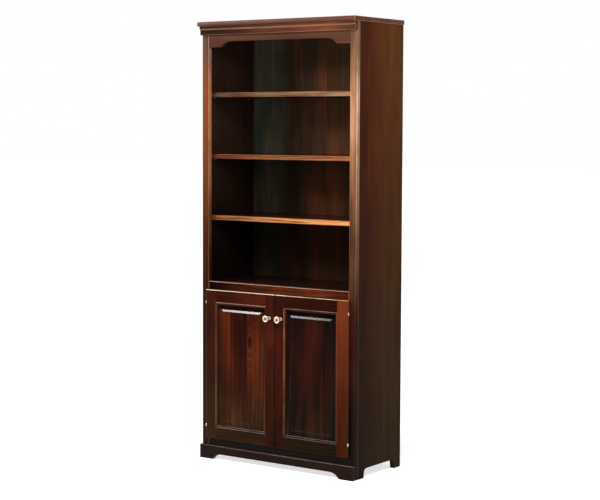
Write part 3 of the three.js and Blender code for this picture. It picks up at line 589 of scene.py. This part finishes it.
def smoothing_group(limit, kind):
    """Modifier nodes that join the facets of a CAD solid and shade its curves smooth, where the
    faces turn by less than a limit in degrees. The moulded faces of a board take its second
    slot. A panel keeps that for the bevel that looks up, and its other bevels take the third."""
    name = f"joined_facets_{limit}_{kind}"
    group = bpy.data.node_groups.get(name)
    if group:
        return group
    group = bpy.data.node_groups.new(name, "GeometryNodeTree")
    group.interface.new_socket("Geometry", in_out="INPUT", socket_type="NodeSocketGeometry")
    group.interface.new_socket("Geometry", in_out="OUTPUT", socket_type="NodeSocketGeometry")
    source = add(group, "NodeGroupInput")
    merged = add(group, "GeometryNodeMergeByDistance", {0: source, "Distance": WELD})
    angle = add(group, "GeometryNodeInputMeshEdgeAngle")
    sharp = add(group, "FunctionNodeCompare", {0: angle, 1: math.radians(limit)},
                data_type="FLOAT", operation="GREATER_THAN")
    shaded = add(group, "GeometryNodeSetMeshNormal",
                 {"Mesh": merged, "Remove Custom": True, "Edge Sharpness": sharp,
                  "Face Sharpness": False}, mode="SHARPNESS")
    if kind == "plain":
        add(group, "NodeGroupOutput", {0: shaded})
        return group
    normal = add(group, "GeometryNodeInputNormal")
    turned = add(group, "ShaderNodeVectorMath", {0: normal}, operation="ABSOLUTE")
    split = add(group, "ShaderNodeSeparateXYZ", {0: turned})
    wider = add(group, "ShaderNodeMath", {0: split.outputs[0], 1: split.outputs[1]},
                operation="MAXIMUM")
    widest = add(group, "ShaderNodeMath", {0: wider, 1: split.outputs[2]}, operation="MAXIMUM")
    slanted = add(group, "FunctionNodeCompare", {0: widest, 1: SQUARE},
                  data_type="FLOAT", operation="LESS_THAN")
    marked = add(group, "GeometryNodeSetMaterialIndex",
                 {"Geometry": shaded, "Selection": slanted, "Material Index": 1})
    if kind == "panel":
        rise = add(group, "ShaderNodeSeparateXYZ", {0: normal})
        upward = add(group, "FunctionNodeCompare", {0: rise.outputs[2], 1: UPWARD},
                     data_type="FLOAT", operation="GREATER_THAN")
        others = add(group, "FunctionNodeBooleanMath", {0: slanted, 1: upward},
                     operation="NIMPLY")
        marked = add(group, "GeometryNodeSetMaterialIndex",
                     {"Geometry": marked, "Selection": others, "Material Index": 2})
    add(group, "NodeGroupOutput", {0: marked})
    return group


def eased(obj, width, limit, kind):
    """Softens the arrises of a CAD node with modifiers, so that they catch the light. The new
    narrow faces take the last material slot."""
    facets = obj.modifiers.new("joined_facets", "NODES")
    facets.node_group = smoothing_group(limit, kind)
    planar = obj.modifiers.new("flat_faces", "DECIMATE")
    planar.decimate_type = "DISSOLVE"
    planar.angle_limit = math.radians(FLAT_TURN)
    bevel = obj.modifiers.new("eased_arris", "BEVEL")
    bevel.width = width
    bevel.segments = 2
    bevel.limit_method = "ANGLE"
    bevel.angle_limit = math.radians(ARRIS_TURN)
    bevel.material = len(obj.data.materials) - 1
    even = obj.modifiers.new("even_shading", "WEIGHTED_NORMAL")
    even.keep_sharp = True


def finish_node(name, arris, limit, *materials):
    """Gives a CAD node its materials and its eased edges."""
    if name.endswith("_raised_panel"):
        kind = "panel"
    else:
        kind = "board" if len(materials) > 1 else "plain"
    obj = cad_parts[name]
    obj.data.materials.clear()
    for material in materials:
        obj.data.materials.append(material)
    eased(obj, arris, limit, kind)


# Small hardware ---------------------------------------------------------------------------------

# A screw head: the corners of its rim, how far its foot is sunk in metres, and as shares of its
# radius the top of its dome, the reach, half width and depth of its cross recess, and as a share
# of the recess its floor.
RIM_CORNERS = 20
SUNK = 0.0002
DOME, RECESS_REACH, RECESS_HALF, RECESS_DEPTH = 0.78, 0.62, 0.13, 0.28
RECESS_FLOOR = 0.8
# In metres: the places of the screws from the inner edge of a door leaf, from the back edge of a
# frame leaf, and above and below the middle of both, and how far the heads stand proud.
DOOR_LEAF_SCREWS = (0.008, 0.022)
FRAME_LEAF_SCREW = 0.0075
SCREW_DROPS = (-0.0115, 0.0115)
DOOR_LEAF_HEAD, FRAME_LEAF_HEAD = 0.0007, 0.00025


def screw_head(mesh, place, normal, up, radius, rise):
    """Adds a low round screw head with a cross recess to a bmesh."""
    side = up.cross(normal)
    arm, bar, depth = RECESS_REACH * radius, RECESS_HALF * radius, RECESS_DEPTH * radius
    turns = [math.tau * i / RIM_CORNERS for i in range(RIM_CORNERS)]

    def point(a, b, height):
        return mesh.verts.new(place + side * a + up * b + normal * height)

    foot = [point(radius * math.cos(t), radius * math.sin(t), -SUNK) for t in turns]
    rim = [point(DOME * radius * math.cos(t), DOME * radius * math.sin(t), rise) for t in turns]
    cross = [(arm, -bar), (arm, bar), (bar, bar), (bar, arm), (-bar, arm), (-bar, bar),
             (-arm, bar), (-arm, -bar), (-bar, -bar), (-bar, -arm), (bar, -arm), (bar, -bar)]
    lip = [point(a, b, rise) for a, b in cross]
    floor = [point(RECESS_FLOOR * a, RECESS_FLOOR * b, rise - depth) for a, b in cross]
    for loop_a, loop_b in ((foot, rim), (lip, floor)):
        count = len(loop_a)
        for i in range(count):
            j = (i + 1) % count
            mesh.faces.new((loop_a[i], loop_a[j], loop_b[j], loop_b[i]))
    mesh.faces.new(floor)
    edges = [mesh.edges.get((corner, loop[i - 1]))
             for loop in (rim, lip) for i, corner in enumerate(loop)]
    bmesh.ops.triangle_fill(mesh, use_beauty=True, edges=edges, normal=normal)


def piece_from(mesh, name, material, body):
    """Makes a piece from a bmesh and lets it ride on a body."""
    data = bpy.data.meshes.new(name)
    bmesh.ops.recalc_face_normals(mesh, faces=mesh.faces)
    mesh.to_mesh(data)
    mesh.free()
    data.materials.append(material)
    obj = bpy.data.objects.new(name, data)
    bpy.context.scene.collection.objects.link(obj)
    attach(obj, body)


# Settings ---------------------------------------------------------------------------------------

class WoodSettings(bpy.types.PropertyGroup):
    lacquer_roughness: bpy.props.FloatProperty(
        name="Lacquer roughness", description="Roughness of the satin lacquer",
        default=0.24, min=0.05, max=1.0, subtype="FACTOR")
    moulding_roughness: bpy.props.FloatProperty(
        name="Moulding roughness", description="Roughness of the polished mouldings",
        default=0.13, min=0.05, max=1.0, subtype="FACTOR")
    moulding_sheen: bpy.props.FloatProperty(
        name="Moulding sheen", description="Specular level of the polished mouldings",
        default=0.07, min=0.0, max=1.0, subtype="FACTOR")
    arris: bpy.props.FloatProperty(
        name="Arris", description="Width that sanding takes off the edges of the boards",
        default=0.0016, min=0.0001, max=0.003, unit="LENGTH")


class MetalSettings(bpy.types.PropertyGroup):
    arris: bpy.props.FloatProperty(
        name="Arris", description="Width of the eased edges of the metal parts",
        default=0.00015, min=0.00005, max=0.001, unit="LENGTH")
    screw_radius: bpy.props.FloatProperty(
        name="Screw head radius", description="Radius of the heads of the hinge screws",
        default=0.0031, min=0.001, max=0.006, unit="LENGTH")


class StudioSettings(bpy.types.PropertyGroup):
    key_power: bpy.props.FloatProperty(
        name="Key light", description="Power of the soft box high in front",
        default=85.0, min=0.0, unit="POWER")
    front_power: bpy.props.FloatProperty(
        name="Front light", description="Power of the small soft box close in front",
        default=6.5, min=0.0, unit="POWER")
    top_power: bpy.props.FloatProperty(
        name="Overhead light", description="Power of the soft box above",
        default=42.0, min=0.0, unit="POWER")
    side_power: bpy.props.FloatProperty(
        name="Side light", description="Power of the soft box on the right",
        default=14.0, min=0.0, unit="POWER")
    fill_power: bpy.props.FloatProperty(
        name="Fill light", description="Power of the soft box in front on the right",
        default=38.0, min=0.0, unit="POWER")
    surround: bpy.props.FloatProperty(
        name="Surround", description="Strength of the light from all round",
        default=0.14, min=0.0, max=1.0)
    lens: bpy.props.FloatProperty(
        name="Lens", description="Focal length of the camera on a 36 mm sensor",
        default=94.98, min=20.0, max=300.0, unit="CAMERA")
    floor_colour: bpy.props.FloatVectorProperty(
        name="Floor colour", description="Colour of the studio floor",
        default=linear("#ededeb"), min=0.0, max=1.0, subtype="COLOR", size=3)


# Operators --------------------------------------------------------------------------------------

class BOOKCASE_OT_case(bpy.types.Operator):
    """Finishes the case boards and the face frame"""
    bl_idname = "bookcase.case"
    bl_label = "Case"

    def execute(self, context):
        names = sorted(set(BOARDS.values()))
        finishes = {name: board_materials(name) for name in names}
        edge = arris_wear_and_highlight()
        for name, finish in BOARDS.items():
            last = finishes[finish][0] if name in DARK_EDGED else edge
            finish_node(name, context.scene.bookcase_wood.arris, BOARD_FACETS,
                        *finishes[finish], last)
        return {"FINISHED"}


class BOOKCASE_OT_shelves(bpy.types.Operator):
    """Finishes the loose shelves"""
    bl_idname = "bookcase.shelves"
    bl_label = "Shelves"

    def execute(self, context):
        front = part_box("upper_shelf")[0].y
        for name, light in SHELVES.items():
            wood = nosed(stained_cherry("shelf"), front + NOSING, light)
            wood.name = f"stained_cherry_{name}"
            finish_node(name, context.scene.bookcase_wood.arris, BOARD_FACETS, wood)
        return {"FINISHED"}


class BOOKCASE_OT_doors(bpy.types.Operator):
    """Finishes the boards of the two doors"""
    bl_idname = "bookcase.doors"
    bl_label = "Doors"

    def execute(self, context):
        names = sorted({finish for pair in DOOR_BOARDS.values() for finish in pair})
        finishes = {name: [shaded_recesses(material) for material in board_materials(name)]
                    for name in names}
        edge_wood = bpy.data.materials["rubbed_cherry_arris"]
        for part, pair in DOOR_BOARDS.items():
            for side, finish in zip(SIDES, pair):
                edge = [] if part == "raised_panel" else [edge_wood]
                finish_node(f"door_{side}_{part}", context.scene.bookcase_wood.arris,
                            BOARD_FACETS, *finishes[finish], *edge)
        return {"FINISHED"}


class BOOKCASE_OT_metal(bpy.types.Operator):
    """Finishes the knobs, hinges, screws and shelf pins"""
    bl_idname = "bookcase.metal"
    bl_label = "Metal"

    def execute(self, context):
        nickel = plated_metal("satin_nickel")
        low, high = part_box("door_right_knob")
        knob_metal = hollowed(plated_metal("satin_nickel_knob"),
                              (low.x + high.x) / 2, low.y, (low.z + high.z) / 2)
        zinc = plated_metal("zinc_plated_steel")
        arris = context.scene.bookcase_metal.arris
        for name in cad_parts:
            if name.startswith("pin_") or name.endswith("_screw"):
                finish_node(name, arris, METAL_FACETS, zinc)
            elif name.startswith("hinge_"):
                finish_node(name, arris, METAL_FACETS, nickel)
            elif name.endswith("_knob"):
                finish_node(name, arris, METAL_FACETS, knob_metal)
        return {"FINISHED"}


class BOOKCASE_OT_hinge_screws(bpy.types.Operator):
    """Adds the screws of the hinge leaves"""
    bl_idname = "bookcase.hinge_screws"
    bl_label = "Hinge screws"

    def execute(self, context):
        radius = context.scene.bookcase_metal.screw_radius
        nickel = bpy.data.materials["satin_nickel"]
        up, back = Vector((0, 0, 1)), Vector((0, 1, 0))
        for side in SIDES:
            outward = 1 if side == "right" else -1
            for place in ("upper", "lower"):
                low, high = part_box(f"hinge_{side}_{place}_door_leaf")
                middle = (low.z + high.z) / 2
                heads = bmesh.new()
                inner = low.x if side == "right" else high.x
                for reach in DOOR_LEAF_SCREWS:
                    for drop in SCREW_DROPS:
                        spot = Vector((inner + outward * reach, high.y, middle + drop))
                        screw_head(heads, spot, back, up, radius, DOOR_LEAF_HEAD)
                piece_from(heads, f"hinge_{side}_{place}_door_screws", nickel,
                           f"door_{side}")
                low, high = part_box(f"hinge_{side}_{place}_frame_leaf")
                heads = bmesh.new()
                face = low.x if side == "right" else high.x
                for drop in SCREW_DROPS:
                    spot = Vector((face, high.y - FRAME_LEAF_SCREW, middle + drop))
                    screw_head(heads, spot, Vector((-outward, 0, 0)), up, radius,
                               FRAME_LEAF_HEAD)
                piece_from(heads, f"hinge_{side}_{place}_frame_screws", nickel,
                           "carcass")
        return {"FINISHED"}


class BOOKCASE_OT_studio(bpy.types.Operator):
    """Sets up the floor, the surround, the soft boxes and the camera"""
    bl_idname = "bookcase.studio"
    bl_label = "Studio"

    def execute(self, context):
        settings = context.scene.bookcase_studio
        studio_floor(settings)
        studio_surround(settings)
        for name, power, place, target, size in SOFT_BOXES:
            soft_box(name, getattr(settings, power), place, target, size)
        studio_camera(settings)
        context.scene.view_settings.view_transform = "Standard"
        return {"FINISHED"}


class BOOKCASE_PT_panel(bpy.types.Panel):
    """Lists the steps that dress the bookcase"""
    bl_idname = "BOOKCASE_PT_panel"
    bl_label = "Bookcase"
    bl_space_type = "VIEW_3D"
    bl_region_type = "UI"
    bl_category = "Bookcase"

    def draw(self, context):
        for settings in ("bookcase_wood", "bookcase_metal", "bookcase_studio"):
            group = getattr(context.scene, settings)
            box = self.layout.box()
            for name in group.bl_rna.properties.keys():
                if name not in ("rna_type", "name"):
                    box.prop(group, name)
        for step in STEPS:
            self.layout.operator(step.bl_idname)


# Studio -----------------------------------------------------------------------------------------

# Each soft box: its power in the settings, its place, the place that it faces, and its size.
SOFT_BOXES = (
    ("key_soft_box", "key_power", (-2.1, -2.18, 2.44), (0.0, -0.15, 0.62), (1.2, 0.32)),
    ("front_soft_box", "front_power", (0.35, -0.98, 1.5), (0.1, -0.15, 1.4), (0.25, 0.5)),
    ("overhead_soft_box", "top_power", (-1.6, -1.2, 2.75), (-0.5, -0.6, 0.6), (1.0, 1.8)),
    ("side_soft_box", "side_power", (1.85, 0.2, 2.2), (0.39, 0.1, 1.5), (0.6, 0.6)),
    ("fill_soft_box", "fill_power", (1.5, -2.0, 2.7), (0.0, -0.15, 1.2), (0.8, 0.8)),
)
# The camera: its place, its turn in degrees round the vertical, up and about its own axis, its
# upward shift as a share of the frame, the width of its sensor in mm, and how far it sees.
CAMERA_PLACE = (3.8024, -5.3093, 1.4086)
CAMERA_TURN = (35.536, -3.903, 0.219)
CAMERA_SHIFT = -0.03
SENSOR_WIDTH = 36.0
SIGHT = 100.0
# The floor: half its side, the distances where it starts to fade to white and where it is white,
# and its glow near the object.
FLOOR_HALF = 40.0
FLOOR_FADE = (1.0, 3.5)
FLOOR_NEAR = 0.7


def seen_white(tree):
    """One for rays that look at the background directly, in a reflection or through glass."""
    rays = add(tree, "ShaderNodeLightPath")
    both = add(tree, "ShaderNodeMath",
               {0: rays.outputs["Is Camera Ray"], 1: rays.outputs["Is Glossy Ray"]},
               operation="MAXIMUM")
    return add(tree, "ShaderNodeMath", {0: both, 1: rays.outputs["Is Transmission Ray"]},
               operation="MAXIMUM")


def studio_floor(settings):
    """A plain pale sweep of painted floor that keeps the object's soft shadow."""
    mesh = bmesh.new()
    bmesh.ops.create_grid(mesh, x_segments=8, y_segments=8, size=FLOOR_HALF)
    data = bpy.data.meshes.new("studio_floor")
    mesh.to_mesh(data)
    mesh.free()
    floor = bpy.data.objects.new("studio_floor", data)
    bpy.context.scene.collection.objects.link(floor)
    material, tree = new_material("matt_floor_paint")
    place = add(tree, "ShaderNodeTexCoord").outputs["Object"]
    mottle = add(tree, "ShaderNodeTexNoise", {"Vector": place, "Scale": 6.0, "Detail": 3.0})
    colour = add(tree, "ShaderNodeMix",
                 {0: mottle, 6: (*settings.floor_colour, 1.0), 7: rgba("#f1f1ef")},
                 data_type="RGBA")
    # the lit floor near the object keeps its shadow, and farther out the sweep fades to white
    reach = add(tree, "ShaderNodeVectorMath", {0: place}, operation="LENGTH")
    fade = add(tree, "ShaderNodeMapRange",
               {"Value": reach.outputs["Value"], "From Min": FLOOR_FADE[0],
                "From Max": FLOOR_FADE[1], "To Min": FLOOR_NEAR, "To Max": 1.0},
               interpolation_type="SMOOTHSTEP")
    glow = add(tree, "ShaderNodeMath", {0: seen_white(tree), 1: fade}, operation="MULTIPLY")
    shader = add(tree, "ShaderNodeBsdfPrincipled",
                 {"Base Color": colour.outputs[2], "Roughness": 0.9, "Specular IOR Level": 0.1,
                  "Emission Color": rgba(WHITE), "Emission Strength": glow})
    add(tree, "ShaderNodeOutputMaterial", {"Surface": shader})
    data.materials.append(material)


def studio_surround(settings):
    """White behind the object, and even light of a lower level from all round."""
    world = bpy.data.worlds.new("studio_surround")
    world.use_nodes = True
    tree = world.node_tree
    tree.nodes.clear()
    level = add(tree, "ShaderNodeMapRange",
                {"Value": seen_white(tree), "To Min": settings.surround, "To Max": 1.0})
    light = add(tree, "ShaderNodeBackground",
                {"Color": rgba(WHITE), "Strength": level.outputs[0]})
    add(tree, "ShaderNodeOutputWorld", {"Surface": light})
    bpy.context.scene.world = world


def soft_box(name, power, place, target, size):
    """Hangs a soft box at a place and turns it to a target."""
    data = bpy.data.lights.new(name, "AREA")
    data.shape = "RECTANGLE"
    data.size, data.size_y = size
    data.energy = power
    lamp = bpy.data.objects.new(name, data)
    bpy.context.scene.collection.objects.link(lamp)
    lamp.location = place
    way = Vector(target) - Vector(place)
    lamp.rotation_euler = way.to_track_quat("-Z", "Y").to_euler()
    lamp.visible_camera = False


def studio_camera(settings):
    """Stands the camera where the photographer stood."""
    data = bpy.data.cameras.new("studio_camera")
    data.sensor_width = SENSOR_WIDTH
    data.lens = settings.lens
    data.shift_y = CAMERA_SHIFT
    data.clip_end = SIGHT
    camera = bpy.data.objects.new("studio_camera", data)
    bpy.context.scene.collection.objects.link(camera)
    yaw, pitch, roll = (math.radians(a) for a in CAMERA_TURN)
    turn = (Matrix.Rotation(yaw, 4, "Z") @ Matrix.Rotation(math.pi / 2 + pitch, 4, "X")
            @ Matrix.Rotation(roll, 4, "Z"))
    camera.matrix_world = Matrix.Translation(CAMERA_PLACE) @ turn
    bpy.context.scene.camera = camera


# Run --------------------------------------------------------------------------------------------

GROUPS = {"bookcase_wood": WoodSettings, "bookcase_metal": MetalSettings,
          "bookcase_studio": StudioSettings}
STEPS = (BOOKCASE_OT_case, BOOKCASE_OT_shelves, BOOKCASE_OT_doors, BOOKCASE_OT_metal,
         BOOKCASE_OT_hinge_screws, BOOKCASE_OT_studio)


def register():
    for kind in (*GROUPS.values(), *STEPS, BOOKCASE_PT_panel):
        bpy.utils.register_class(kind)
    for name, kind in GROUPS.items():
        setattr(bpy.types.Scene, name, bpy.props.PointerProperty(type=kind))


def unregister():
    for name in GROUPS:
        delattr(bpy.types.Scene, name)
    for kind in reversed((*GROUPS.values(), *STEPS, BOOKCASE_PT_panel)):
        bpy.utils.unregister_class(kind)


def main():
    register()
    for step in STEPS:
        area, name = step.bl_idname.split(".")
        getattr(getattr(bpy.ops, area), name)()


if __name__ == "__main__":
    main()
